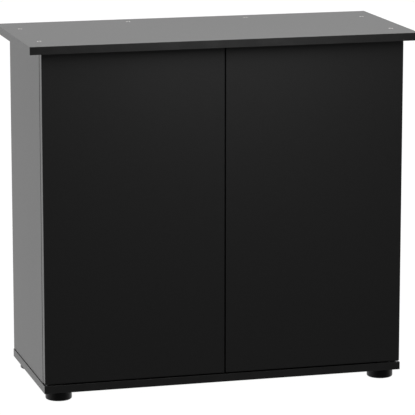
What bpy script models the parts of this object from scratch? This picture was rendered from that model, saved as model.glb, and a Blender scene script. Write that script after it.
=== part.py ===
"""Aquarium stand cabinet: a black two-door base cabinet on four levelling feet.

Metres, +Z up. The origin is on the floor under the middle of the top panel. The front faces -Y.
Each sub-part is one object with its own material. The doors turn on concealed pivot hinges, the
feet screw down out of the bottom panel, and the push latches' plungers slide.
"""

import math

import bmesh
import bpy
from mathutils import Matrix, Vector

# Overall size and boards
WIDTH = 0.810
DEPTH = 0.360
HEIGHT = 0.730
BOARD = 0.016
DOOR_THICK = 0.018
EDGE_ROUND = 0.0005
TOUCH = 0.0003
OVERCUT = 0.002

# Carcass
FOOT_HEIGHT = 0.018
BODY_WIDTH = 0.756
BASE_WIDTH = 0.759
BASE_DEPTH = 0.322
BODY_BACK = 0.161
BACK_CENTRE = 0.143
BASE_TOP = FOOT_HEIGHT + BOARD
TOP_UNDER = HEIGHT - BOARD
MIRROR_Z = BASE_TOP + TOP_UNDER

# Doors
DOOR_FRONT = -0.1595
DOOR_BACK = DOOR_FRONT + DOOR_THICK
DOOR_GAP = 0.003
SIDE_FRONT = DOOR_BACK + 0.0035
PIVOT_INSET = 0.006
PIVOT_Y = (DOOR_FRONT + DOOR_BACK) / 2
PIVOT_X = BODY_WIDTH / 2 - PIVOT_INSET

# Pivot hinges
PLATE_THICK = 0.0015
PLATE_LONG = 0.046
PLATE_WIDE = 0.014
PLATE_END = 0.0045
PLATE_SINK = PLATE_THICK + TOUCH
PIN_RADIUS = 0.0020
PIN_REACH = 0.012
PIN_TIP = 0.0006
BUSH_BORE = PIN_RADIUS + TOUCH
BUSH_RADIUS = 0.0035
BUSH_LONG = 0.013
PLATE_SCREW_PLACES = (0.021, 0.037)
PLATE_SCREW_RADIUS = 0.00175
PLATE_SCREW_HEAD = 0.0030
PLATE_SCREW_CONE = 0.0015
PLATE_SCREW_LONG = 0.012
PLATE_SCREW_SOCKET = 0.0009

# Board screws, which join the top and bottom panels to the sides and back
SCREW_RADIUS = 0.0030
SCREW_HEAD = 0.0050
SCREW_CONE = 0.0030
SCREW_LONG = 0.050
SCREW_SOCKET = 0.0020
SIDE_SCREW_YS = (-0.1025, 0.0895)
BACK_SCREW_X = 0.128

# Feet
FOOT_RADIUS = 0.027
FOOT_CHAMFER = 0.0010
FOOT_ROLL = 0.0030
FOOT_X = 0.3445
FOOT_YS = (-0.1325, 0.1240)
STEM_RADIUS = 0.0050
STEM_TOP = 0.0310
INSERT_RADIUS = 0.0080
INSERT_TOP = 0.0315

# Shelf and its pins
SHELF_FRONT = -0.125
SHELF_BACK_GAP = 0.004
SHELF_UNDER = 0.372
PIN_HOLE_YS = (-0.090, 0.090)
PIN_HOLE_PITCH = 0.032
PIN_HOLE_DEPTH = 0.009
SHELF_PIN_RADIUS = 0.0025
SHELF_PIN_OUT = 0.008
SHELF_PIN_CHAMFER = 0.0005

# Hose and cable cut-outs in the back panel's upper corners
CUTOUT_WIDE = 0.110
CUTOUT_TALL = 0.070
CUTOUT_ROUND = 0.018

# Push latches
LATCH_X = 0.024
LATCH_Z = 0.699
LATCH_WIDE = 0.018
LATCH_TALL = 0.022
LATCH_FRONT = SIDE_FRONT + 0.005
LATCH_LONG = 0.062
LATCH_CHAMFER = 0.0015
LATCH_BACK_WALL = 0.006
PLUNGER_RADIUS = 0.0040
PLUNGER_CHAMFER = 0.0008
PLUNGER_LONG = 0.048
STRIKE_RADIUS = 0.0080
STRIKE_THICK = 0.0010

SIDES = {"left": -1, "right": 1}
LEVELS = {"lower": False, "upper": True}


def clear_scene():
    for obj in list(bpy.data.objects):
        bpy.data.objects.remove(obj, do_unlink=True)


def make_material(name, colour, roughness, metallic=0.0):
    material = bpy.data.materials.new(name)
    material.use_nodes = True
    shader = material.node_tree.nodes["Principled BSDF"]
    shader.inputs["Base Color"].default_value = (*colour, 1.0)
    shader.inputs["Roughness"].default_value = roughness
    shader.inputs["Metallic"].default_value = metallic
    return material


def add_object(name, bm, material):
    """Makes one object from a bmesh, with its faces pointing outwards."""
    bmesh.ops.recalc_face_normals(bm, faces=bm.faces)
    mesh = bpy.data.meshes.new(name)
    bm.to_mesh(mesh)
    bm.free()
    mesh.materials.append(material)
    obj = bpy.data.objects.new(name, mesh)
    bpy.context.collection.objects.link(obj)
    return obj


def move_origin(obj, point):
    """Puts an object's origin at a point without moving its shape."""
    obj.data.transform(Matrix.Translation(-Vector(point)))
    obj.location = point


def smooth(obj):
    obj.data.shade_smooth()
    obj.data.set_sharp_from_angle(angle=math.radians(35))


def box_mesh(low, high, rounding=0.0):
    """A box between two corners, with its edges chamfered by the rounding."""
    bm = bmesh.new()
    bmesh.ops.create_cube(bm, size=1.0)
    size = Vector(high) - Vector(low)
    middle = (Vector(high) + Vector(low)) / 2
    bmesh.ops.scale(bm, vec=size, verts=bm.verts)
    bmesh.ops.translate(bm, vec=middle, verts=bm.verts)
    if rounding:
        bmesh.ops.bevel(bm, geom=list(bm.edges), offset=rounding, segments=1, affect="EDGES")
    return bm


def board(name, low, high, material):
    return add_object(name, box_mesh(low, high, EDGE_ROUND), material)


def turned_into(bm, profile, place, segments=16):
    """Adds a turned solid to a bmesh. The profile is (radius, height) from axis to axis."""
    rings = []
    for radius, height in profile:
        if radius == 0.0:
            rings.append([bm.verts.new(place @ Vector((0, 0, height)))])
            continue
        ring = []
        for step in range(segments):
            angle = 2 * math.pi * step / segments
            point = Vector((radius * math.cos(angle), radius * math.sin(angle), height))
            ring.append(bm.verts.new(place @ point))
        rings.append(ring)
    for first, second in zip(rings, rings[1:]):
        for step in range(segments):
            after = (step + 1) % segments
            corners = [first[step % len(first)], first[after % len(first)]]
            corners += [second[after % len(second)], second[step % len(second)]]
            bm.faces.new(list(dict.fromkeys(corners)))


def turned(name, profile, place, material, segments=16):
    bm = bmesh.new()
    turned_into(bm, profile, place, segments)
    obj = add_object(name, bm, material)
    smooth(obj)
    return obj


def tube(name, outer, inner, low, high, place, material, segments=16):
    """A round tube, open at both ends."""
    bm = bmesh.new()
    loop = [(outer, low), (outer, high), (inner, high), (inner, low), (outer, low)]
    turned_into(bm, loop, place, segments)
    bmesh.ops.remove_doubles(bm, verts=bm.verts, dist=1e-6)
    obj = add_object(name, bm, material)
    smooth(obj)
    return obj


def combine(obj, what, operation, fill):
    """Cuts or joins one hidden helper object, whose separate shapes fill() adds to a bmesh."""
    bm = bmesh.new()
    fill(bm)
    helper = add_object(obj.name + "_" + what, bm, obj.data.materials[0])
    helper.hide_render = True
    helper.display_type = "WIRE"
    modifier = obj.modifiers.new(what, "BOOLEAN")
    modifier.operation = operation
    modifier.solver = "EXACT"
    modifier.object = helper
    return helper


def cut(obj, fill, what="holes"):
    return combine(obj, what, "DIFFERENCE", fill)


def at_level(x, y, z, upper):
    """A place at a lower height, with local +Z up, or the same place mirrored to the top."""
    if not upper:
        return Matrix.Translation((x, y, z))
    return Matrix.Translation((x, y, MIRROR_Z - z)) @ Matrix.Rotation(math.pi, 4, "X")


def along_y(x, y, z):
    """A place whose local +Z points to the back."""
    return Matrix.Translation((x, y, z)) @ Matrix.Rotation(-math.pi / 2, 4, "X")


def along_x(x, y, z, direction):
    """A place whose local +Z points to +X or -X."""
    return Matrix.Translation((x, y, z)) @ Matrix.Rotation(direction * math.pi / 2, 4, "Y")


def screw_profile(radius, head, cone, length, socket):
    """A countersunk screw from its socket down to its point, with its head's top at 0."""
    return [
        (0.0, -socket),
        (socket, -socket),
        (socket, 0.0),
        (head, 0.0),
        (radius, -cone),
        (radius, -length + 2 * radius),
        (0.0, -length),
    ]


def hole_profile(radius, depth):
    """A plain hole that starts a little outside the face it goes into."""
    return [(0.0, -OVERCUT), (radius, -OVERCUT), (radius, depth), (0.0, depth)]


def screw_hole_profile(radius, head, cone, length):
    """The countersunk hole that leaves a small gap round a screw."""
    return [
        (0.0, OVERCUT),
        (head + TOUCH, OVERCUT),
        (head + TOUCH, -TOUCH),
        (radius + TOUCH, -cone - TOUCH),
        (radius + TOUCH, -length - 2 * TOUCH),
        (0.0, -length - 2 * TOUCH),
    ]


def board_screw_places():
    """Name and x, y of each screw through the top panel. The bottom panel has the same ones."""
    places = []
    for side, sign in SIDES.items():
        x = sign * (BODY_WIDTH - BOARD) / 2
        places.append((side + "_front", x, SIDE_SCREW_YS[0]))
        places.append((side + "_rear", x, SIDE_SCREW_YS[1]))
        places.append((side + "_back_panel", sign * BACK_SCREW_X, BACK_CENTRE))
    return places


def board_screw_place(x, y, upper):
    return at_level(x, y, FOOT_HEIGHT, upper) @ Matrix.Rotation(math.pi, 4, "X")


def add_board_screw_holes(bm, places):
    profile = screw_hole_profile(SCREW_RADIUS, SCREW_HEAD, SCREW_CONE, SCREW_LONG)
    for x, y, upper in places:
        turned_into(bm, profile, board_screw_place(x, y, upper), segments=12)


def add_plate_screw_holes(bm, upper):
    for sign in SIDES.values():
        add_one_plates_screw_holes(bm, sign, upper)


def add_one_plates_screw_holes(bm, sign, upper):
    profile = screw_hole_profile(
        PLATE_SCREW_RADIUS, PLATE_SCREW_HEAD, PLATE_SCREW_CONE, PLATE_SCREW_LONG
    )
    for inward in PLATE_SCREW_PLACES:
        turned_into(bm, profile, plate_screw_place(sign, inward, upper), segments=12)


def plate_screw_place(sign, inward, upper):
    x = sign * (BODY_WIDTH / 2 - inward)
    return at_level(x, PIVOT_Y, BASE_TOP - TOUCH, upper)


def plate_outline(sign, grow=0.0):
    """A hinge plate's outline: a short half-round end at the pin, and a full one inwards."""
    radius = PLATE_WIDE / 2
    pin_x = sign * PIVOT_X
    far_x = sign * (PIVOT_X - PLATE_LONG + 2 * radius)
    outline = []
    for centre, reach, start in ((pin_x, PLATE_END, -90 * sign), (far_x, radius, 90 * sign)):
        for step in range(9):
            angle = math.radians(start + 180 * step / 8)
            x = centre + (reach + grow) * math.cos(angle)
            outline.append((x, PIVOT_Y + (radius + grow) * math.sin(angle)))
    return outline


def add_slab(bm, outline, low, high):
    """Adds a flat slab with an outline in X and Y between two heights."""
    rings = [[bm.verts.new((x, y, z)) for x, y in outline] for z in (low, high)]
    bm.faces.new(rings[0])
    bm.faces.new(rings[1])
    for here in range(len(outline)):
        after = (here + 1) % len(outline)
        bm.faces.new((rings[0][here], rings[0][after], rings[1][after], rings[1][here]))


def plate_levels(below, above, upper):
    """Two heights, given below and above the base's face, or mirrored to the top panel's."""
    low, high = BASE_TOP - below, BASE_TOP + above
    return (MIRROR_Z - high, MIRROR_Z - low) if upper else (low, high)


def add_plate_pockets(bm, upper):
    for sign in SIDES.values():
        low, high = plate_levels(PLATE_SINK + TOUCH, OVERCUT, upper)
        add_slab(bm, plate_outline(sign, TOUCH), low, high)


def build_top_panel(melamine):
    low = (-WIDTH / 2, -DEPTH / 2, TOP_UNDER)
    high = (WIDTH / 2, DEPTH / 2, HEIGHT)
    panel = board("top_panel", low, high, melamine)

    def holes(bm):
        add_board_screw_holes(bm, [(x, y, True) for _, x, y in board_screw_places()])
        add_plate_screw_holes(bm, True)

    cut(panel, holes)
    cut(panel, lambda bm: add_plate_pockets(bm, True), "pockets")


def build_bottom_panel(melamine):
    low = (-BASE_WIDTH / 2, -BASE_DEPTH / 2, FOOT_HEIGHT)
    high = (BASE_WIDTH / 2, BASE_DEPTH / 2, BASE_TOP)
    panel = board("bottom_panel", low, high, melamine)

    def holes(bm):
        add_board_screw_holes(bm, [(x, y, False) for _, x, y in board_screw_places()])
        add_plate_screw_holes(bm, False)
        depth = INSERT_TOP + TOUCH
        well = [(0.0, 0.0), (INSERT_RADIUS + TOUCH, 0.0), (INSERT_RADIUS + TOUCH, depth), (0.0, depth)]
        for _, x, y in foot_places():
            turned_into(bm, well, Matrix.Translation((x, y, 0)))

    cut(panel, holes)
    cut(panel, lambda bm: add_plate_pockets(bm, False), "pockets")


def shelf_pin_heights():
    """The heights of the holes in one row, with the pins in the middle one."""
    middle = SHELF_UNDER - TOUCH - SHELF_PIN_RADIUS
    return [middle + step * PIN_HOLE_PITCH for step in range(-2, 3)]


def build_side_panel(side, sign, melamine):
    inner = BODY_WIDTH / 2 - BOARD
    outer = BODY_WIDTH / 2
    low = (min(sign * inner, sign * outer), SIDE_FRONT, BASE_TOP + TOUCH)
    high = (max(sign * inner, sign * outer), BODY_BACK, TOP_UNDER - TOUCH)
    panel = board(side + "_side_panel", low, high, melamine)

    def holes(bm):
        x = sign * (BODY_WIDTH - BOARD) / 2
        places = [(x, y, upper) for y in SIDE_SCREW_YS for upper in LEVELS.values()]
        add_board_screw_holes(bm, places)
        radius = SHELF_PIN_RADIUS + TOUCH
        bore = hole_profile(radius, PIN_HOLE_DEPTH)
        for y in PIN_HOLE_YS:
            for z in shelf_pin_heights():
                turned_into(bm, bore, along_x(sign * inner, y, z, sign), segments=10)

    cut(panel, holes)


def back_outline():
    """The back panel's outline in X and Z, with a rounded cut-out at both upper corners."""
    half = BODY_WIDTH / 2 - BOARD - TOUCH
    bottom = BASE_TOP + TOUCH
    top = TOP_UNDER - TOUCH
    inner = half - CUTOUT_WIDE
    floor = top - CUTOUT_TALL
    right = [(half, bottom), (half, floor)]
    for step in range(7):
        angle = math.radians(90) * step / 6
        x = inner + CUTOUT_ROUND * (1 - math.sin(angle))
        z = floor + CUTOUT_ROUND * (1 - math.cos(angle))
        right.append((x, z))
    right.append((inner, top))
    left = [(-x, z) for x, z in reversed(right)]
    return right + left


def build_back_panel(melamine):
    bm = bmesh.new()
    front = BACK_CENTRE - BOARD / 2
    face = bm.faces.new([bm.verts.new((x, front, z)) for x, z in back_outline()])
    grown = bmesh.ops.extrude_face_region(bm, geom=[face])
    moved = [item for item in grown["geom"] if isinstance(item, bmesh.types.BMVert)]
    bmesh.ops.translate(bm, vec=(0, BOARD, 0), verts=moved)
    panel = add_object("back_panel", bm, melamine)

    def holes(bm):
        xs = [sign * BACK_SCREW_X for sign in SIDES.values()]
        add_board_screw_holes(bm, [(x, BACK_CENTRE, upper) for x in xs for upper in LEVELS.values()])

    cut(panel, holes)


def build_shelf(melamine):
    half = BODY_WIDTH / 2 - BOARD - 2 * TOUCH
    low = (-half, SHELF_FRONT, SHELF_UNDER)
    high = (half, BACK_CENTRE - BOARD / 2 - SHELF_BACK_GAP, SHELF_UNDER + BOARD)
    board("shelf", low, high, melamine)


def build_shelf_pins(nickel):
    inner = BODY_WIDTH / 2 - BOARD
    height = shelf_pin_heights()[2]
    radius = SHELF_PIN_RADIUS
    depth = PIN_HOLE_DEPTH - 2 * TOUCH
    chamfer = SHELF_PIN_CHAMFER
    profile = [
        (0.0, -SHELF_PIN_OUT),
        (radius - chamfer, -SHELF_PIN_OUT),
        (radius, -SHELF_PIN_OUT + chamfer),
        (radius, depth - chamfer),
        (radius - chamfer, depth),
        (0.0, depth),
    ]
    for side, sign in SIDES.items():
        for end, y in zip(("front", "rear"), PIN_HOLE_YS):
            name = "shelf_pin_" + side + "_" + end
            turned(name, profile, along_x(sign * inner, y, height, sign), nickel, segments=12)


def build_board_screws(nickel):
    profile = screw_profile(SCREW_RADIUS, SCREW_HEAD, SCREW_CONE, SCREW_LONG, SCREW_SOCKET)
    sunk = Matrix.Translation((0, 0, -TOUCH))
    for panel, upper in (("top", True), ("bottom", False)):
        for name, x, y in board_screw_places():
            place = board_screw_place(x, y, upper) @ sunk
            turned(panel + "_screw_" + name, profile, place, nickel, segments=12)


def build_door(side, sign, melamine):
    near = sign * DOOR_GAP / 2
    far = sign * BODY_WIDTH / 2
    low = (min(near, far), DOOR_FRONT, BASE_TOP + DOOR_GAP)
    high = (max(near, far), DOOR_BACK, TOP_UNDER - DOOR_GAP)
    door = board(side + "_door", low, high, melamine)

    def holes(bm):
        well = hole_profile(BUSH_RADIUS + TOUCH, BUSH_LONG + TOUCH)
        for upper in LEVELS.values():
            turned_into(bm, well, at_level(sign * PIVOT_X, PIVOT_Y, BASE_TOP + DOOR_GAP, upper))

    helper = cut(door, holes)
    pivot = (sign * PIVOT_X, PIVOT_Y, BASE_TOP + DOOR_GAP)
    move_origin(door, pivot)
    move_origin(helper, pivot)


def build_pivot_plate(name, sign, upper, steel):
    """A plate let into the panel, with two countersunk holes and an upright pin."""
    bm = bmesh.new()
    add_slab(bm, plate_outline(sign), *plate_levels(PLATE_SINK, -TOUCH, upper))
    plate = add_object(name, bm, steel)

    def pin(bm):
        foot = PLATE_THICK / 2
        top = PLATE_SINK + DOOR_GAP + PIN_REACH
        profile = [(0.0, foot), (PIN_RADIUS, foot), (PIN_RADIUS, top - PIN_TIP)]
        profile += [(PIN_RADIUS - PIN_TIP, top), (0.0, top)]
        turned_into(bm, profile, at_level(sign * PIVOT_X, PIVOT_Y, BASE_TOP - PLATE_SINK, upper))

    combine(plate, "pin", "UNION", pin)
    cut(plate, lambda bm: add_one_plates_screw_holes(bm, sign, upper))
    smooth(plate)


def build_pivot_hinges(steel, nylon, nickel):
    screw = screw_profile(
        PLATE_SCREW_RADIUS, PLATE_SCREW_HEAD, PLATE_SCREW_CONE, PLATE_SCREW_LONG, PLATE_SCREW_SOCKET
    )
    for side, sign in SIDES.items():
        for level, upper in LEVELS.items():
            stem = side + "_" + level
            build_pivot_plate(stem + "_pivot_plate", sign, upper, steel)
            place = at_level(sign * PIVOT_X, PIVOT_Y, BASE_TOP + DOOR_GAP, upper)
            tube(stem + "_pivot_bush", BUSH_RADIUS, BUSH_BORE, 0.0, BUSH_LONG, place, nylon)
            for number, inward in enumerate(PLATE_SCREW_PLACES, start=1):
                name = stem + "_plate_screw_" + str(number)
                turned(name, screw, plate_screw_place(sign, inward, upper), nickel, segments=12)


def foot_places():
    places = []
    for side, sign in SIDES.items():
        places.append((side + "_front", sign * FOOT_X, FOOT_YS[0]))
        places.append((side + "_rear", sign * FOOT_X, FOOT_YS[1]))
    return places


def build_feet(plastic, zinc):
    top = FOOT_HEIGHT - TOUCH
    profile = [
        (0.0, 0.0),
        (FOOT_RADIUS - FOOT_ROLL, 0.0),
        (FOOT_RADIUS - FOOT_ROLL * 0.3, FOOT_ROLL * 0.3),
        (FOOT_RADIUS, FOOT_ROLL),
        (FOOT_RADIUS, top - FOOT_CHAMFER),
        (FOOT_RADIUS - FOOT_CHAMFER, top),
        (STEM_RADIUS, top),
        (STEM_RADIUS, STEM_TOP - FOOT_CHAMFER),
        (STEM_RADIUS - FOOT_CHAMFER, STEM_TOP),
        (0.0, STEM_TOP),
    ]
    for name, x, y in foot_places():
        place = Matrix.Translation((x, y, 0))
        foot = turned("foot_" + name, profile, place, plastic, segments=32)
        move_origin(foot, (x, y, FOOT_HEIGHT))
        insert = "foot_insert_" + name
        low = FOOT_HEIGHT + TOUCH
        tube(insert, INSERT_RADIUS, STEM_RADIUS + TOUCH, low, INSERT_TOP, place, zinc)


def build_latches(latch_plastic, steel):
    strike_front = DOOR_BACK + TOUCH
    tip = strike_front + STRIKE_THICK + TOUCH
    for side, sign in SIDES.items():
        x = sign * LATCH_X
        build_latch_housing(side, x, latch_plastic)
        radius = PLUNGER_RADIUS
        profile = [(0.0, 0.0), (radius - PLUNGER_CHAMFER, 0.0), (radius, PLUNGER_CHAMFER)]
        profile += [(radius, PLUNGER_LONG), (0.0, PLUNGER_LONG)]
        plunger = turned(side + "_latch_plunger", profile, along_y(x, tip, LATCH_Z), latch_plastic)
        move_origin(plunger, (x, tip, LATCH_Z))
        profile = [(0.0, 0.0), (STRIKE_RADIUS, 0.0), (STRIKE_RADIUS, STRIKE_THICK), (0.0, STRIKE_THICK)]
        turned(side + "_strike_plate", profile, along_y(x, strike_front, LATCH_Z), steel)


def build_latch_housing(side, x, latch_plastic):
    low = (x - LATCH_WIDE / 2, LATCH_FRONT, LATCH_Z - LATCH_TALL / 2)
    high = (x + LATCH_WIDE / 2, LATCH_FRONT + LATCH_LONG, TOP_UNDER - TOUCH)
    housing = add_object(side + "_latch_housing", box_mesh(low, high, LATCH_CHAMFER), latch_plastic)
    bore = hole_profile(PLUNGER_RADIUS + TOUCH, LATCH_LONG - LATCH_BACK_WALL)
    cut(housing, lambda bm: turned_into(bm, bore, along_y(x, LATCH_FRONT, LATCH_Z)))


def main():
    clear_scene()
    melamine = make_material("black_melamine", (0.012, 0.012, 0.012), 0.32)
    plastic = make_material("foot_plastic", (0.010, 0.010, 0.010), 0.45)
    latch_plastic = make_material("latch_plastic", (0.045, 0.045, 0.047), 0.5)
    nylon = make_material("bush_nylon", (0.75, 0.74, 0.70), 0.45)
    nickel = make_material("screw_nickel", (0.62, 0.61, 0.58), 0.3, metallic=1.0)
    steel = make_material("plate_steel", (0.50, 0.51, 0.52), 0.35, metallic=1.0)
    insert_zinc = make_material("insert_zinc", (0.45, 0.45, 0.46), 0.5, metallic=1.0)

    build_top_panel(melamine)
    build_bottom_panel(melamine)
    build_back_panel(melamine)
    for side, sign in SIDES.items():
        build_side_panel(side, sign, melamine)
        build_door(side, sign, melamine)
    build_shelf(melamine)
    build_shelf_pins(nickel)
    build_board_screws(nickel)
    build_pivot_hinges(steel, nylon, nickel)
    build_feet(plastic, insert_zinc)
    build_latches(latch_plastic, steel)


main()
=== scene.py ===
"""Looks of the aquarium stand cabinet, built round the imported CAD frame.

Boards get separate edge bands with a fine seam, rounded arrises and real screw holes. Screws, feet,
hinges and latches are rebuilt with their own detail. Every material is procedural. Lengths are in
metres.
"""

import math

import bmesh
import bpy
from mathutils import Matrix, Vector

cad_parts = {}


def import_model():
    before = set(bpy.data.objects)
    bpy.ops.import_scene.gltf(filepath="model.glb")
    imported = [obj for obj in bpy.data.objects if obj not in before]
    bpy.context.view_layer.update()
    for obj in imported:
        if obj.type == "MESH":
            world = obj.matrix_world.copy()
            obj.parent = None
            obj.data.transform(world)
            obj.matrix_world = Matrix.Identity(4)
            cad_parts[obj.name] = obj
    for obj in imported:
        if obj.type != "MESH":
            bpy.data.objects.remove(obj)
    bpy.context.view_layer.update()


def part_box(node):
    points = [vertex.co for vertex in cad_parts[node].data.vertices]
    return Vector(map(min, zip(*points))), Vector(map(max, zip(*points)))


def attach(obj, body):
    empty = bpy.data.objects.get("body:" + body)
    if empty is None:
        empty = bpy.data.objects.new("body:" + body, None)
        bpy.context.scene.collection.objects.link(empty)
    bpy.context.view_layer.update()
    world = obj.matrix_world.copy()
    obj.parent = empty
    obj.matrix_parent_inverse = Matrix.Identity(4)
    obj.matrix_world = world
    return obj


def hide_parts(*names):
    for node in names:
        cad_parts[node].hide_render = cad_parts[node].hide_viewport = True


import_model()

# Camera: low telephoto view from the front left, angles in degrees
CAMERA_PLACE = (-1.4739, -5.4548, 1.4934)
CAMERA_TURN = 15.177
CAMERA_TILT = 11.417
CAMERA_LENS = 239.14
CAMERA_SENSOR = 36
CAMERA_REACH = 100

# Boards: the edge band, the seam behind it, its rounded arris and the boards' rounded corners
BAND = 0.0010
SEAM = 0.00012
ARRIS = 0.0002
CORNER = 0.0010
CORNER_STEPS = 4
SMALLEST_ROUND = 0.00005

# The back panel: its hose cut-outs and eased edges
CUTOUT_WIDE = 0.110
CUTOUT_TALL = 0.070
CUTOUT_ROUND = 0.018
CUTOUT_STEPS = 12
BACK_EASE = 0.0006

# Holes: how far a cutter stands proud of the face, and the clearance round what is in the hole
CUTTER_PROUD = 0.001
HOLE_GAP = 0.0003
PLATE_SCREW_HOLE = {"radius": 0.00205, "depth": 0.011, "segments": 24}
PIN_HOLE = {"radius": 0.0028, "depth": 0.0088, "segments": 28}
PIN_HOLE_PITCH = 0.032
PIN_HOLES_EACH_WAY = 2
BUSH_HOLE_DEPTH = 0.0133

# Screws: head, shank and drive are radii, and HEAD_RISE lifts the head above the CAD solid
BOARD_SCREW = {"head": 0.0050, "shank": 0.0030, "cone": 0.0030, "length": 0.050, "drive": 0.0023}
PLATE_SCREW = {"head": 0.0030, "shank": 0.00175, "cone": 0.0015, "length": 0.012, "drive": 0.0013}
SCREW_STEPS = 36
HEAD_GAP = 0.00008
HEAD_RISE = 0.0002
SOCKET_DISH = 0.00012

# Screws, as shares of the head (rim), the shank (thread), the cone (socket) and the drive (tip)
RIM_SHARE = 0.06
THREAD_PITCH = 0.8
THREAD_ROOT = 0.8
SOCKET_DEPTH = 0.75
SOCKET_TIP = 0.35

# Hinges: the plate's eased edges and round ends, and the gap between the plate and its pin
PIVOT_PIN = 0.0020
PLATE_EDGE = 0.00025
PLATE_END_TRIM = 0.0001
PLATE_END_STEPS = 12
PIN_LIFT = 0.00005

# Latches and feet
LATCH_BORE = 0.056
STEM_RADIUS = 0.0050

# Vertices nearer than this are one vertex
WELD = 1e-6

# Studio: the soft box above the doors is a key that makes no glare, and a weaker light for the sheen
FLOOR_SIZE = 40
FLOOR_DROP = 0.0005
LIGHT_TARGET = (0.02, -0.16, 0.60)
LIGHT_SIZE = (0.4, 0.7)
LIGHTS = {
    "key": {"place": (0.02, -0.51, 1.10), "power": 7.6, "glossy": False},
    "sheen": {"place": (0.02, -0.53, 1.13), "power": 2.0, "glossy": True},
}

# The surround: its strength in front and behind, and where along Y it changes from one to the other
SURROUND_FRONT = 0.125
SURROUND_BACK = 1.0
SURROUND_CHANGE = (-0.75, 0.35)

# The sign of x on each side, and of the way into the cabinet along z at each level
SIDES = {"left": -1, "right": 1}
ENDS = ("front", "rear")
LEVELS = {"lower": 1, "upper": -1}


# ---------------------------------------------------------------- materials


class Nodes:
    """A material, with short calls that add and join its shader nodes."""

    def __init__(self, name):
        self.material = bpy.data.materials.new(name)
        self.material.use_nodes = True
        self.tree = self.material.node_tree
        self.shader = self.tree.nodes["Principled BSDF"]

    def add(self, kind, **inputs):
        """Adds a node and sets some inputs, with an underscore for each space in their names."""
        node = self.tree.nodes.new(kind)
        for name, value in inputs.items():
            node.inputs[name.replace("_", " ")].default_value = value
        return node

    def set(self, **inputs):
        """Sets inputs of the main shader."""
        for name, value in inputs.items():
            self.shader.inputs[name.replace("_", " ")].default_value = value

    def join(self, source, target):
        self.tree.links.new(source, target)

    def coords(self, stretch=(1, 1, 1)):
        """Object coordinates, stretched along the axes."""
        mapping = self.add("ShaderNodeMapping", Scale=stretch)
        self.join(self.add("ShaderNodeTexCoord").outputs["Object"], mapping.inputs["Vector"])
        return mapping.outputs["Vector"]

    def noise(self, scale, detail=3.0, stretch=(1, 1, 1)):
        node = self.add("ShaderNodeTexNoise", Scale=scale, Detail=detail, Roughness=0.55)
        self.join(self.coords(stretch), node.inputs["Vector"])
        return node.outputs["Fac"]

    def cells(self, scale):
        node = self.add("ShaderNodeTexVoronoi", Scale=scale)
        self.join(self.coords(), node.inputs["Vector"])
        return node.outputs["Distance"]

    def spread(self, value, low, high):
        """The middle part of a noise value, spread over low to high."""
        node = self.add("ShaderNodeMapRange", From_Min=0.3, From_Max=0.7, To_Min=low, To_Max=high)
        self.join(value, node.inputs["Value"])
        return node.outputs["Result"]

    def colours(self, value, stops):
        """A colour ramp over a value, from (place, colour) stops."""
        node = self.add("ShaderNodeValToRGB")
        ramp = node.color_ramp
        while len(ramp.elements) < len(stops):
            ramp.elements.new(0.5)
        for element, (place, colour) in zip(ramp.elements, stops):
            element.position = place
            element.color = (*colour, 1.0)
        self.join(value, node.inputs["Fac"])
        return node.outputs["Color"]

    def bump(self, *layers):
        """Bumps in turn, each from (height, strength, distance)."""
        normal = None
        for height, strength, distance in layers:
            node = self.add("ShaderNodeBump", Strength=strength, Distance=distance)
            self.join(height, node.inputs["Height"])
            if normal is not None:
                self.join(normal, node.inputs["Normal"])
            normal = node.outputs["Normal"]
        self.join(normal, self.shader.inputs["Normal"])


def grey(value, warm=0.0):
    return (value * (1 + warm), value, value * (1 - warm))


def melamine_material():
    """Satin black melamine: fine pearl grain, faint mottling and slightly uneven sheen."""
    n = Nodes("black_melamine")
    mottle = n.noise(260.0, detail=4.0)
    tone = n.colours(mottle, [(0.30, grey(0.0085)), (0.55, grey(0.0100)), (0.75, grey(0.0115))])
    n.join(tone, n.shader.inputs["Base Color"])
    n.join(n.spread(n.noise(340.0), 0.355, 0.375), n.shader.inputs["Roughness"])
    n.bump((n.cells(1500.0), 0.16, 0.00004), (n.noise(420.0, detail=2.0), 0.05, 0.00008))
    return n.material


def edge_band_material():
    """The plastic edge band: about as dark and rough as the faces, with a softer, broader grain."""
    n = Nodes("edge_band")
    tone = n.colours(n.noise(30.0), [(0.35, grey(0.0093)), (0.70, grey(0.0122))])
    n.join(tone, n.shader.inputs["Base Color"])
    n.join(n.spread(n.noise(160.0), 0.35, 0.38), n.shader.inputs["Roughness"])
    n.bump((n.noise(700.0, detail=1.0), 0.15, 0.00006))
    return n.material


def chipboard_material():
    """Raw chipboard, seen in the screw and pin holes."""
    n = Nodes("chipboard")
    flakes = n.cells(420.0)
    stops = [(0.0, (0.05, 0.032, 0.018)), (0.5, (0.11, 0.072, 0.042)), (1.0, (0.18, 0.13, 0.08))]
    n.join(n.colours(flakes, stops), n.shader.inputs["Base Color"])
    n.set(Roughness=0.9)
    n.bump((flakes, 0.6, 0.0004))
    return n.material


def moulded_material(name, tones, roughness, warm=0.0, specular=0.5):
    """Moulded plastic with spark-eroded grain and faint flow marks."""
    n = Nodes(name)
    low, high = tones
    tone = n.colours(n.noise(38.0, detail=4.0), [(0.3, grey(low, warm)), (0.7, grey(high, warm))])
    n.join(tone, n.shader.inputs["Base Color"])
    n.join(n.spread(n.noise(210.0), *roughness), n.shader.inputs["Roughness"])
    n.set(Specular_IOR_Level=specular)
    n.bump((n.noise(1900.0, detail=2.0), 0.22, 0.00008), (n.noise(60.0), 0.05, 0.0004))
    return n.material


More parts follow.
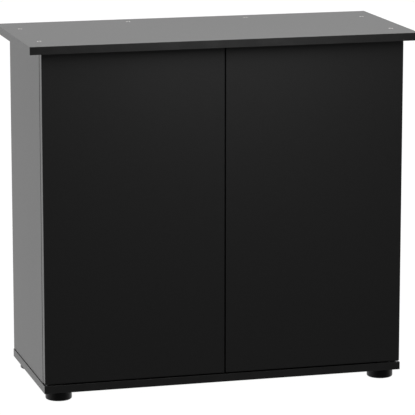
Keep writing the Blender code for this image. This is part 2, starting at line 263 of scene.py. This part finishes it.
def plated_material(name, tones, roughness, warm=0.0, brush=(1, 1, 1), metal=1.0):
    """Plated metal: cloudy tone and brushed or rolled marks. Metal below 1 is a dull film on it."""
    n = Nodes(name)
    low, high = tones
    n.set(Metallic=metal)
    cloud = n.noise(120.0, detail=5.0)
    tone = n.colours(cloud, [(0.30, grey(low, warm)), (0.72, grey(high, warm))])
    n.join(tone, n.shader.inputs["Base Color"])
    marks = n.noise(900.0, stretch=brush)
    n.join(n.spread(marks, *roughness), n.shader.inputs["Roughness"])
    n.bump((marks, 0.18, 0.00005))
    return n.material


melamine = melamine_material()
edge_band = edge_band_material()
chipboard = chipboard_material()
foot_plastic = moulded_material("foot_plastic", (0.0030, 0.0050), (0.30, 0.38), specular=0.2)
latch_plastic = moulded_material("latch_plastic", (0.030, 0.042), (0.42, 0.52))
nylon = moulded_material("bush_nylon", (0.66, 0.76), (0.38, 0.48), warm=0.03)
nickel = plated_material("screw_nickel", (0.68, 0.82), (0.24, 0.36), warm=0.01, metal=0.9)
# A dark copy of the plated steel for the inside of the screw sockets: painted shade in the recess
socket_painted_shade = plated_material("socket_painted_shade", (0.05, 0.10), (0.45, 0.62))
plate_steel = plated_material(
    "plate_steel", (0.42, 0.54), (0.28, 0.42), warm=-0.01, brush=(0.08, 1, 1), metal=0.7
)
insert_zinc = plated_material("insert_zinc", (0.32, 0.42), (0.42, 0.58), metal=0.7)


# ---------------------------------------------------------------- mesh helpers


def corners(node):
    """The low and high corner of a CAD node's box."""
    return [Vector(corner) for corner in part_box(node)]


def middle_of(node):
    low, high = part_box(node)
    return [(a + b) / 2 for a, b in zip(low, high)]


def facing(point, direction):
    """A place at a point whose local +Z points in a direction."""
    turn = Vector(direction).to_track_quat("Z", "Y").to_matrix().to_4x4()
    return Matrix.Translation(point) @ turn


def finish_piece(obj, body, nodes):
    """Rides a piece on its body and hides the CAD nodes it stands for."""
    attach(obj, body)
    if nodes:
        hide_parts(*nodes)


def new_object(name, bm, *materials):
    bmesh.ops.recalc_face_normals(bm, faces=bm.faces)
    mesh = bpy.data.meshes.new(name)
    bm.to_mesh(mesh)
    bm.free()
    for material in materials:
        mesh.materials.append(material)
    obj = bpy.data.objects.new(name, mesh)
    bpy.context.collection.objects.link(obj)
    return obj


def soften(obj, angle=32):
    """Smooth shading, sharp where faces meet steeply, with big flat faces kept flat."""
    obj.data.shade_smooth()
    obj.data.set_sharp_from_angle(angle=math.radians(angle))
    normals = obj.modifiers.new("flat_faces", "WEIGHTED_NORMAL")
    normals.keep_sharp = True
    normals.weight = 80
    return obj


def quarter_round(outer, radius, steps, start=1):
    """(radius, height) points that round off a flat end at height 0, out to the outer radius."""
    points = []
    for step in range(start, steps + 1):
        angle = math.radians(90) * step / steps
        points.append((outer - radius * (1 - math.sin(angle)), radius * (1 - math.cos(angle))))
    return points


def rounded_loop(low, high, radius, inset, steps=CORNER_STEPS):
    """Points round a rectangle with round corners, moved inwards by the inset."""
    radius = max(radius - inset, SMALLEST_ROUND)
    (left, front), (right, back) = low, high
    points = []
    for x, y, start in ((right, back, 0), (left, back, 90), (left, front, 180), (right, front, 270)):
        centre_x = x - inset - radius if start in (0, 270) else x + inset + radius
        centre_y = y - inset - radius if start in (0, 90) else y + inset + radius
        for step in range(steps + 1):
            angle = math.radians(start + 90 * step / steps)
            points.append((centre_x + radius * math.cos(angle), centre_y + radius * math.sin(angle)))
    return points


def block_loops(low, high, thin, radius, outline, steps=CORNER_STEPS):
    """A loop of points round a block for each (inset, height) of its outline along its thin axis."""
    u, v = [axis for axis in range(3) if axis != thin]
    loops = []
    for inset, height in outline:
        flat = rounded_loop((low[u], low[v]), (high[u], high[v]), radius, inset, steps)
        loop = [Vector() for _ in flat]
        for point, (across, along) in zip(loop, flat):
            point[u], point[v], point[thin] = across, along, low[thin] + height
        loops.append(loop)
    return loops


def stack_loops(bm, loops, closed=False):
    """Joins loops of points with quads. Closed joins the last loop to the first."""
    rings = [[bm.verts.new(point) for point in loop] for loop in loops]
    pairs = list(zip(rings, rings[1:]))
    if closed:
        pairs.append((rings[-1], rings[0]))
    for first, second in pairs:
        for here in range(len(first)):
            after = (here + 1) % len(first)
            bm.faces.new((first[here], first[after], second[after], second[here]))
    return rings


def capped_stack(bm, loops):
    """Joins loops of points with quads and closes both ends."""
    rings = stack_loops(bm, loops)
    bm.faces.new(rings[0])
    bm.faces.new(rings[-1])


def lathe(bm, profile, place, segments):
    """Adds a turned shape. The profile is (radius, height), and radius 0 closes it on the axis."""
    rings = []
    for radius, height in profile:
        count = 1 if radius == 0 else segments
        ring = []
        for step in range(count):
            angle = 2 * math.pi * step / segments
            point = Vector((radius * math.cos(angle), radius * math.sin(angle), height))
            ring.append(bm.verts.new(place @ point))
        rings.append(ring)
    for first, second in zip(rings, rings[1:]):
        for step in range(segments):
            after = (step + 1) % segments
            points = [first[step % len(first)], first[after % len(first)]]
            points += [second[after % len(second)], second[step % len(second)]]
            bm.faces.new(list(dict.fromkeys(points)))


def turned_piece(node, body, profile, place, material, segments=36, angle=35):
    """Replaces a CAD node by a turned piece."""
    bm = bmesh.new()
    lathe(bm, profile, place, segments)
    bmesh.ops.remove_doubles(bm, verts=bm.verts, dist=WELD)
    piece = soften(new_object(node + "_detailed", bm, material), angle)
    finish_piece(piece, body, (node,))


def cut_holes(obj, fill):
    """Cuts the shapes that fill() adds to a bmesh. The cut faces take the second material."""
    bm = bmesh.new()
    fill(bm)
    for face in bm.faces:
        face.material_index = 1
    cutter = new_object("cutter", bm, melamine, chipboard)
    modifier = obj.modifiers.new("holes", "BOOLEAN")
    modifier.operation = "DIFFERENCE"
    modifier.solver = "EXACT"
    modifier.object = cutter
    bpy.context.view_layer.update()
    graph = bpy.context.evaluated_depsgraph_get()
    mesh = bpy.data.meshes.new_from_object(obj.evaluated_get(graph))
    obj.modifiers.remove(modifier)
    obj.data = mesh
    bpy.data.objects.remove(cutter, do_unlink=True)


def plain_hole(bm, place, radius, depth, segments):
    """A round hole whose mouth is at local height 0 and which goes down."""
    profile = [(0, CUTTER_PROUD), (radius, CUTTER_PROUD), (radius, -depth), (0, -depth)]
    lathe(bm, profile, place, segments)


def screw_hole(bm, size, place):
    """A countersunk hole whose mouth is at local height 0 and which goes down."""
    head, shank = size["head"] + HEAD_GAP, size["shank"] + HOLE_GAP
    cone, bottom = -size["cone"] - HOLE_GAP, -size["length"] - 2 * HOLE_GAP
    profile = [(0, CUTTER_PROUD), (head, CUTTER_PROUD), (head, -HOLE_GAP), (shank, cone)]
    lathe(bm, profile + [(shank, bottom), (0, bottom)], place, segments=40)


# ---------------------------------------------------------------- boards


def arris(thickness):
    """(inset, height) from the lower to the upper face round a band's outer edge."""
    lower = [(-out, height) for out, height in quarter_round(0, ARRIS, CORNER_STEPS, start=0)]
    return lower + [(inset, thickness - height) for inset, height in reversed(lower)]


def board_pieces(node, body, thin, *cuts):
    """A board as a core with melamine faces and an edge band all round, split by a fine seam.

    The thin axis is 0, 1 or 2, and each cut is a function that adds shapes to cut out of the core.
    """
    low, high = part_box(node)
    thickness = high[thin] - low[thin]
    bm = bmesh.new()
    inner = BAND - SEAM / 2
    outline = [(inner, 0.0)] + arris(thickness) + [(inner, thickness)]
    stack_loops(bm, block_loops(low, high, thin, CORNER, outline), closed=True)
    band = soften(new_object(node + "_edge_band", bm, edge_band))
    finish_piece(band, body, ())

    bm = bmesh.new()
    start = BAND + SEAM / 2
    outline = [(start + SEAM, 0.0), (start, SEAM), (start, thickness - SEAM), (start + SEAM, thickness)]
    capped_stack(bm, block_loops(low, high, thin, CORNER, outline))
    core = new_object(node + "_core", bm, melamine, chipboard)
    for fill in cuts:
        cut_holes(core, fill)
    finish_piece(soften(core), body, (node,))


def board_screw_nodes(panel):
    names = [side + "_" + where for side in SIDES for where in ("front", "rear", "back_panel")]
    return [panel + "_screw_" + name for name in names]


def plate_screw_nodes(level):
    return [f"{side}_{level}_plate_screw_{number}" for side in SIDES for number in (1, 2)]


def panel_screw_holes(panel, level, outside, inside):
    """The holes of the top or bottom panel for the board screws and the hinge plate screws."""
    inwards = LEVELS[level]

    def fill(bm):
        for node in board_screw_nodes(panel):
            x, y, _ = middle_of(node)
            screw_hole(bm, BOARD_SCREW, facing((x, y, outside), (0, 0, -inwards)))
        for node in plate_screw_nodes(level):
            x, y, _ = middle_of(node)
            plain_hole(bm, facing((x, y, inside), (0, 0, inwards)), **PLATE_SCREW_HOLE)

    return fill


def plate_loops(low, high, outline):
    """A loop of points round a round-ended hinge plate for each (inset, height) of its outline."""
    radius = (high.y - low.y) / 2 - PLATE_END_TRIM
    return block_loops(low, high, 2, radius, outline, PLATE_END_STEPS)


def plate_pockets(level, face):
    """The pockets that the hinge plates lie in, sunk from the face of the top or bottom panel."""
    up = LEVELS[level]

    def fill(bm):
        for side in SIDES:
            low, high = corners(f"{side}_{level}_pivot_plate")
            bottom = (low.z if up > 0 else high.z) - up * HOLE_GAP
            mouth = face + up * CUTTER_PROUD
            outline = [(-HOLE_GAP, height - low.z) for height in (bottom, mouth)]
            capped_stack(bm, plate_loops(low, high, outline))

    return fill


def insert_holes(face):
    """The holes for the foot inserts in the bottom panel's lower face."""

    def fill(bm):
        for side in SIDES:
            for end in ENDS:
                node = f"foot_insert_{side}_{end}"
                low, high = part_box(node)
                x, y, _ = middle_of(node)
                radius = (high[0] - low[0]) / 2 + HOLE_GAP
                depth = high[2] + HOLE_GAP - face
                plain_hole(bm, facing((x, y, face), (0, 0, -1)), radius, depth, segments=40)

    return fill


def pin_holes(side, sign, inner):
    """The rows of shelf pin holes in a side panel's inner face."""

    def fill(bm):
        for end in ENDS:
            _, y, z = middle_of(f"shelf_pin_{side}_{end}")
            for step in range(-PIN_HOLES_EACH_WAY, PIN_HOLES_EACH_WAY + 1):
                place = facing((inner, y, z + step * PIN_HOLE_PITCH), (-sign, 0, 0))
                plain_hole(bm, place, **PIN_HOLE)

    return fill


def bush_holes(side, low, high):
    """The holes for a door's two pivot bushes, in its lower and upper edge."""

    def fill(bm):
        for level, height in (("lower", low[2]), ("upper", high[2])):
            bush = f"{side}_{level}_pivot_bush"
            bush_low, bush_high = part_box(bush)
            x, y, _ = middle_of(bush)
            radius = (bush_high[0] - bush_low[0]) / 2 + HOLE_GAP
            place = facing((x, y, height), (0, 0, -LEVELS[level]))
            plain_hole(bm, place, radius, BUSH_HOLE_DEPTH, segments=32)

    return fill


def top_panel():
    low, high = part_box("top_panel")
    holes = panel_screw_holes("top", "upper", high[2], low[2])
    board_pieces("top_panel", "carcass", 2, holes, plate_pockets("upper", low[2]))


def bottom_panel():
    low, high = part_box("bottom_panel")
    holes = panel_screw_holes("bottom", "lower", low[2], high[2])
    pockets = plate_pockets("lower", high[2])
    board_pieces("bottom_panel", "carcass", 2, holes, insert_holes(low[2]), pockets)


def side_panels():
    for side, sign in SIDES.items():
        node = side + "_side_panel"
        low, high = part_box(node)
        inner = high[0] if sign < 0 else low[0]
        board_pieces(node, "carcass", 0, pin_holes(side, sign, inner))


def doors():
    """Doors are boards too, with the bush holes cut through both core and band."""
    for side in SIDES:
        node = side + "_door"
        holes = bush_holes(side, *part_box(node))
        board_pieces(node, side + "_door_leaf", 1, holes)
        cut_holes(bpy.data.objects[node + "_edge_band"], holes)


def back_panel_outline(half, bottom, top):
    """(x, z) points round the back panel, with a rounded cut-out at each upper corner."""
    ledge, inner = top - CUTOUT_TALL, half - CUTOUT_WIDE
    right = [(half, bottom), (half, ledge)]
    for out, height in quarter_round(0, CUTOUT_ROUND, CUTOUT_STEPS, start=0):
        right.append((inner - out, ledge + height))
    right.append((inner, top))
    return right + [(-x, z) for x, z in reversed(right)]


def back_panel():
    """The back panel with its two rounded cut-outs, all its edges slightly rounded."""
    node = "back_panel"
    low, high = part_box(node)
    bm = bmesh.new()
    outline = back_panel_outline(high[0], low[2], high[2])
    face = bm.faces.new([bm.verts.new((x, low[1], z)) for x, z in outline])
    grown = bmesh.ops.extrude_face_region(bm, geom=[face])
    moved = [item for item in grown["geom"] if isinstance(item, bmesh.types.BMVert)]
    bmesh.ops.translate(bm, vec=(0, high[1] - low[1], 0), verts=moved)
    rims = [edge for edge in bm.edges if abs(edge.verts[0].co.y - edge.verts[1].co.y) < WELD]
    bmesh.ops.bevel(bm, geom=rims, offset=BACK_EASE, segments=3, affect="EDGES", profile=0.5)
    panel = soften(new_object("back_panel_detailed", bm, melamine))
    finish_piece(panel, "carcass", (node,))


# ---------------------------------------------------------------- fittings


def screw_profile(size):
    """A screw's outline from the face of its head down: rounded rim, cone, thread and tip."""
    head, shank, cone, length = size["head"], size["shank"], size["cone"], size["length"]
    rim, pitch, root = head * RIM_SHARE, shank * THREAD_PITCH, shank * THREAD_ROOT
    flank = pitch * 0.3
    profile = [(head - 2 * rim, 0), (head - 0.6 * rim, -0.35 * rim), (head, -1.6 * rim), (shank, -cone)]
    height = -cone - pitch
    while height - pitch > 2 * shank - length:
        profile += [(root, height + flank), (shank, height), (root, height - flank)]
        height -= pitch
    return profile + [(root, 1.6 * shank - length), (0, -length)]


def hex_socket(bm, size, place):
    """Closes a screw's head with a dished face and a hexagonal socket, whose walls and floor take a dark
    steel as painted shade.

    The reach of the hexagon at an angle follows from how far that is from the middle of its side.
    """
    outer, drive = size["head"] * (1 - 2 * RIM_SHARE), size["drive"]
    depth = size["cone"] * SOCKET_DEPTH
    outer_ring, rim_ring, floor_ring = [], [], []
    for step in range(SCREW_STEPS):
        angle = 2 * math.pi * step / SCREW_STEPS
        from_middle = (angle + math.pi / 6) % (math.pi / 3) - math.pi / 6
        reach = drive * math.cos(math.pi / 6) / math.cos(from_middle)
        x, y = math.cos(angle), math.sin(angle)
        outer_ring.append(bm.verts.new(place @ Vector((outer * x, outer * y, 0))))
        rim_ring.append(bm.verts.new(place @ Vector((reach * x, reach * y, -SOCKET_DISH))))
        floor_ring.append(bm.verts.new(place @ Vector((reach * x, reach * y, -depth))))
    tip = bm.verts.new(place @ Vector((0, 0, -depth - drive * SOCKET_TIP)))
    for step in range(SCREW_STEPS):
        after = (step + 1) % SCREW_STEPS
        bm.faces.new((outer_ring[step], outer_ring[after], rim_ring[after], rim_ring[step]))
        # The socket's walls and floor take the second, dark material: painted shade
        wall = bm.faces.new((rim_ring[step], rim_ring[after], floor_ring[after], floor_ring[step]))
        wall.material_index = 1
        bm.faces.new((floor_ring[step], floor_ring[after], tip)).material_index = 1
    bmesh.ops.remove_doubles(bm, verts=bm.verts, dist=WELD)


def screw_piece(node, size, up):
    """A countersunk screw with a hex socket and a thread, whose head faces up (1) or down (-1)."""
    low, high = corners(node)
    x, y, _ = middle_of(node)
    top = high.z if up > 0 else low.z
    place = facing((x, y, top + up * HEAD_RISE), (0, 0, up))
    bm = bmesh.new()
    lathe(bm, screw_profile(size), place, SCREW_STEPS)
    hex_socket(bm, size, place)
    screw = soften(new_object(node + "_detailed", bm, nickel, socket_painted_shade), 40)
    finish_piece(screw, "carcass", (node,))


def screws():
    for panel, up in (("top", 1), ("bottom", -1)):
        for node in board_screw_nodes(panel):
            screw_piece(node, BOARD_SCREW, up)
    for level, up in LEVELS.items():
        for node in plate_screw_nodes(level):
            screw_piece(node, PLATE_SCREW, up)


def foot_profile(radius, top, stem_top):
    """A glide's outline: recessed underside, rolled edge, parting groove, flat top, threaded stem."""
    recess, roll, ease = 0.0010, 0.0032, 0.0008
    groove, groove_deep, groove_half = top * 0.80, 0.00015, 0.0003
    pitch, thread_deep = 0.0010, 0.0006
    profile = [(0, recess), (radius * 0.30, recess), (radius * 0.34, 0.0)]
    profile += quarter_round(radius, roll, steps=8, start=0)
    profile += [(radius, groove - groove_half), (radius - groove_deep, groove)]
    profile += [(radius, groove + groove_half), (radius, top - ease), (radius - ease, top)]
    profile += [(STEM_RADIUS, top)]
    height = top + pitch
    while height + pitch < stem_top - pitch:
        profile += [(STEM_RADIUS, height), (STEM_RADIUS - thread_deep, height + pitch / 2)]
        height += pitch
    return profile + [(STEM_RADIUS - ease, stem_top), (0, stem_top)]


def feet():
    for side in SIDES:
        for end in ENDS:
            node = f"foot_{side}_{end}"
            low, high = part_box(node)
            x, y, _ = middle_of(node)
            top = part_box(f"foot_insert_{side}_{end}")[0][2] - 2 * HOLE_GAP
            profile = foot_profile((high[0] - low[0]) / 2, top, high[2])
            place = Matrix.Translation((x, y, 0))
            turned_piece(node, node + "_body", profile, place, foot_plastic, segments=72)


def foot_inserts():
    """The threaded zinc inserts, with a chamfered mouth and barbs round the outside."""
    inner, ease, end_ease = STEM_RADIUS + HOLE_GAP, 0.0006, 0.0004
    collar, barb_pitch, barb_rise, barb_deep = 0.0015, 0.0026, 0.0022, 0.0007
    for side in SIDES:
        for end in ENDS:
            node = f"foot_insert_{side}_{end}"
            low, high = corners(node)
            x, y, _ = middle_of(node)
            outer, long = (high.x - low.x) / 2, high.z - low.z
            profile = [(inner + ease, 0), (outer - ease / 2, 0), (outer, ease / 2), (outer, collar)]
            for barb in range(1, 5):
                height = collar + barb * barb_pitch
                profile += [(outer - barb_deep, height - barb_rise), (outer, height)]
            profile += [(outer - end_ease, long), (inner, long), (inner, ease), (inner + ease, 0)]
            place = Matrix.Translation((x, y, low.z))
            turned_piece(node, "carcass", profile, place, insert_zinc, segments=48, angle=30)


def shelf_pins():
    """Shelf pins with rounded ends and a small groove where they meet the panel."""
    end_round, tail, groove = 0.0010, 0.0006, 0.0003
    for side, sign in SIDES.items():
        for end in ENDS:
            node = f"shelf_pin_{side}_{end}"
            low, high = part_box(node)
            length, radius = high[0] - low[0], (high[2] - low[2]) / 2
            _, y, z = middle_of(node)
            start = high[0] if sign < 0 else low[0]
            profile = [(0, 0)] + quarter_round(radius, end_round, steps=5)
            for share, deep in ((0.46, 0), (0.48, groove), (0.50, 0)):
                profile.append((radius - deep, length * share))
            profile += [(radius, length - tail), (radius - tail, length), (0, length)]
            place = facing((start, y, z), (sign, 0, 0))
            turned_piece(node, "carcass", profile, place, nickel)


def pin_profile(start, height):
    """A hinge pin's outline: a collar on the plate, the pin and its rounded tip."""
    collar, collar_tall, collar_ease = PIVOT_PIN + 0.0007, 0.0012, 0.0003
    tip = 0.0007
    shoulder = start + collar_tall
    profile = [(0, start), (collar, start), (collar, shoulder - collar_ease)]
    profile += [(collar - collar_ease, shoulder), (PIVOT_PIN, shoulder), (PIVOT_PIN, height - tip)]
    return profile + [(PIVOT_PIN - tip * 0.3, height - tip * 0.3), (PIVOT_PIN - tip, height), (0, height)]


def pivot_plate(node, up):
    """A hinge plate with eased edges and two countersunk holes, and its pin as a piece of its own."""
    low, high = corners(node)
    base = low.z if up > 0 else high.z
    screw_low, screw_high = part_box(node.replace("pivot_plate", "plate_screw_1"))
    face = screw_high[2] if up > 0 else screw_low[2]
    thick = abs(face - base)
    outline = [(PLATE_EDGE, 0), (0, PLATE_EDGE), (0, thick - PLATE_EDGE), (PLATE_EDGE, thick)]
    bm = bmesh.new()
    capped_stack(bm, plate_loops(Vector((low.x, low.y, min(base, face))), high, outline))
    plate = new_object(node + "_detailed", bm, plate_steel, plate_steel)

    def fill(bm):
        for number in (1, 2):
            x, y, _ = middle_of(node.replace("pivot_plate", f"plate_screw_{number}"))
            screw_hole(bm, PLATE_SCREW, facing((x, y, face), (0, 0, up)))

    cut_holes(plate, fill)
    finish_piece(soften(plate, 40), "carcass", (node,))
    x, y, _ = middle_of(node.replace("pivot_plate", "pivot_bush"))
    bm = bmesh.new()
    profile = pin_profile(thick + PIN_LIFT, high.z - low.z)
    lathe(bm, profile, facing((x, y, base), (0, 0, up)), segments=36)
    finish_piece(soften(new_object(node + "_pin", bm, plate_steel), 35), "carcass", ())


def pivot_bush(node, body, up):
    """A nylon bush with a chamfered mouth and three shallow grip rings. Its mouth faces up or down."""
    low, high = corners(node)
    x, y, _ = middle_of(node)
    outer, length = (high.x - low.x) / 2, high.z - low.z
    inner, ease = PIVOT_PIN + HOLE_GAP, 0.0004
    profile = [(inner + ease, 0), (outer - ease / 2, 0), (outer, ease / 2)]
    for share in (0.3, 0.5, 0.7):
        ring = length * share
        profile += [(outer, ring), (outer - ease, ring + ease / 2), (outer, ring + ease)]
    profile += [(outer, length), (inner, length), (inner, ease), profile[0]]
    mouth = high.z if up > 0 else low.z
    place = facing((x, y, mouth), (0, 0, -up))
    turned_piece(node, body, profile, place, nylon)


def hinges():
    for side in SIDES:
        for level, up in LEVELS.items():
            pivot_plate(f"{side}_{level}_pivot_plate", up)
            pivot_bush(f"{side}_{level}_pivot_bush", side + "_door_leaf", -up)


def latch_housing(side):
    """A push latch's housing: eased edges, four grip grooves and a chamfered bore for the plunger."""
    node, plunger = side + "_latch_housing", side + "_latch_plunger"
    low, high = corners(node)
    x, _, z = middle_of(plunger)
    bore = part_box(plunger)[1][0] - x + HOLE_GAP
    corner, ease, mouth = 0.0022, 0.0006, 0.0008
    groove, groove_wide = 0.0004, 0.0018
    long = high.y - low.y
    outline = [(ease, 0), (ease * 0.3, ease * 0.3), (0, ease)]
    for share in (0.30, 0.36, 0.42, 0.48):
        start, stop = long * share, long * share + groove_wide
        outline += [(0, start), (groove, start + groove), (groove, stop - groove), (0, stop)]
    outline += [(0, long - ease), (ease * 0.3, long - ease * 0.3), (ease, long)]
    bm = bmesh.new()
    capped_stack(bm, block_loops(low, high, 1, corner, outline))
    housing = new_object(node + "_detailed", bm, latch_plastic, latch_plastic)

    def fill(bm):
        profile = [(0, CUTTER_PROUD), (bore + mouth, CUTTER_PROUD), (bore + mouth, 0), (bore, -mouth)]
        profile += [(bore, -LATCH_BORE), (0, -LATCH_BORE)]
        lathe(bm, profile, facing((x, low.y, z), (0, -1, 0)), segments=48)

    cut_holes(housing, fill)
    finish_piece(soften(housing, 35), "carcass", (node,))


def latch_plunger(side):
    """The plunger: a domed rubbing end, two grip grooves and an eased rear end."""
    node = side + "_latch_plunger"
    low, high = corners(node)
    x, _, z = middle_of(node)
    radius, long = (high.x - low.x) / 2, high.y - low.y
    dome, ease = 0.0012, 0.0006
    groove, flank, groove_wide = 0.0004, 0.0003, 0.0012
    profile = [(0, 0)] + quarter_round(radius, dome, steps=8)
    for start in (0.006, 0.009):
        stop = start + groove_wide
        profile += [(radius, start), (radius - groove, start + flank)]
        profile += [(radius - groove, stop - flank), (radius, stop)]
    profile += [(radius, long - ease), (radius - ease, long), (0, long)]
    place = facing((x, low.y, z), (0, 1, 0))
    turned_piece(node, side + "_plunger", profile, place, latch_plastic, segments=48)


def strike_plate(side):
    """The round steel plate on the door's back, with a raised rim and a shallow central dimple."""
    node, body = side + "_strike_plate", side + "_door_leaf"
    low, high = corners(node)
    x, _, z = middle_of(node)
    radius, thick = (high.x - low.x) / 2, high.y - low.y
    edge, ease, rim = 0.0002, 0.0003, 0.0012
    sunk, dimple, dimple_flat, dimple_tip = 0.0002, 0.0014, 0.0009, 0.0001
    profile = [(0, 0), (radius - edge, 0), (radius, edge), (radius, thick - ease), (radius - ease, thick)]
    profile += [(radius - rim, thick), (radius - rim - ease, thick - sunk), (dimple, thick - sunk)]
    profile += [(dimple_flat, thick - sunk - ease), (0, thick - sunk - ease - dimple_tip)]
    place = facing((x, low.y, z), (0, 1, 0))
    turned_piece(node, body, profile, place, plate_steel, segments=64, angle=30)


def latches():
    for side in SIDES:
        latch_housing(side)
        latch_plunger(side)
        strike_plate(side)


# ---------------------------------------------------------------- studio


def camera():
    data = bpy.data.cameras.new("camera")
    data.lens = CAMERA_LENS
    data.sensor_width = CAMERA_SENSOR
    data.clip_end = CAMERA_REACH
    obj = bpy.data.objects.new("camera", data)
    obj.location = CAMERA_PLACE
    obj.rotation_euler = (math.radians(90 - CAMERA_TILT), 0, math.radians(-CAMERA_TURN))
    bpy.context.collection.objects.link(obj)
    bpy.context.scene.camera = obj


def floor():
    """A white floor that takes only a trace of shadow, and isn't seen from underneath."""
    bm = bmesh.new()
    bmesh.ops.create_grid(bm, x_segments=1, y_segments=1, size=FLOOR_SIZE)
    n = Nodes("floor_white")
    n.set(Base_Color=(0.05, 0.05, 0.05, 1), Roughness=0.9, Specular_IOR_Level=0.0)
    n.set(Emission_Color=(1, 1, 1, 1), Emission_Strength=1.0)
    mix = n.add("ShaderNodeMixShader")
    n.join(n.add("ShaderNodeNewGeometry").outputs["Backfacing"], mix.inputs["Fac"])
    n.join(n.shader.outputs["BSDF"], mix.inputs[1])
    n.join(n.add("ShaderNodeBsdfTransparent").outputs["BSDF"], mix.inputs[2])
    n.join(mix.outputs["Shader"], n.tree.nodes["Material Output"].inputs["Surface"])
    plane = new_object("floor", bm, n.material)
    plane.location.z = -FLOOR_DROP
    plane.visible_glossy = False
    plane.visible_diffuse = False


def area_light(name, place, power, glossy):
    data = bpy.data.lights.new(name, "AREA")
    data.shape = "ELLIPSE"
    data.size, data.size_y = LIGHT_SIZE
    data.energy = power
    light = bpy.data.objects.new(name, data)
    light.location = place
    light.rotation_mode = "QUATERNION"
    light.rotation_quaternion = (Vector(place) - Vector(LIGHT_TARGET)).to_track_quat("Z", "Y")
    light.visible_glossy = glossy
    bpy.context.collection.objects.link(light)


def world():
    """A surround that lights from behind and beside, dimly from the front, and looks plain white."""
    scene_world = bpy.data.worlds.new("studio")
    scene_world.use_nodes = True
    nodes, links = scene_world.node_tree.nodes, scene_world.node_tree.links
    coords = nodes.new("ShaderNodeTexCoord")
    split = nodes.new("ShaderNodeSeparateXYZ")
    ramp = nodes.new("ShaderNodeMapRange")
    ramp.inputs["From Min"].default_value, ramp.inputs["From Max"].default_value = SURROUND_CHANGE
    ramp.inputs["To Min"].default_value = SURROUND_FRONT
    ramp.inputs["To Max"].default_value = SURROUND_BACK
    seen = nodes.new("ShaderNodeLightPath")
    strength = nodes.new("ShaderNodeMath")
    strength.operation = "MAXIMUM"
    links.new(coords.outputs["Generated"], split.inputs["Vector"])
    links.new(split.outputs["Y"], ramp.inputs["Value"])
    links.new(ramp.outputs["Result"], strength.inputs[0])
    links.new(seen.outputs["Is Camera Ray"], strength.inputs[1])
    links.new(strength.outputs["Value"], nodes["Background"].inputs["Strength"])
    nodes["Background"].inputs["Color"].default_value = (1, 1, 1, 1)
    bpy.context.scene.world = scene_world


bpy.context.scene.view_settings.view_transform = "Standard"
camera()
floor()
world()
for light_name, light in LIGHTS.items():
    area_light(light_name, **light)
top_panel()
bottom_panel()
side_panels()
back_panel()
board_pieces("shelf", "carcass", 2)
doors()
screws()
feet()
shelf_pins()
hinges()
latches()
foot_inserts()
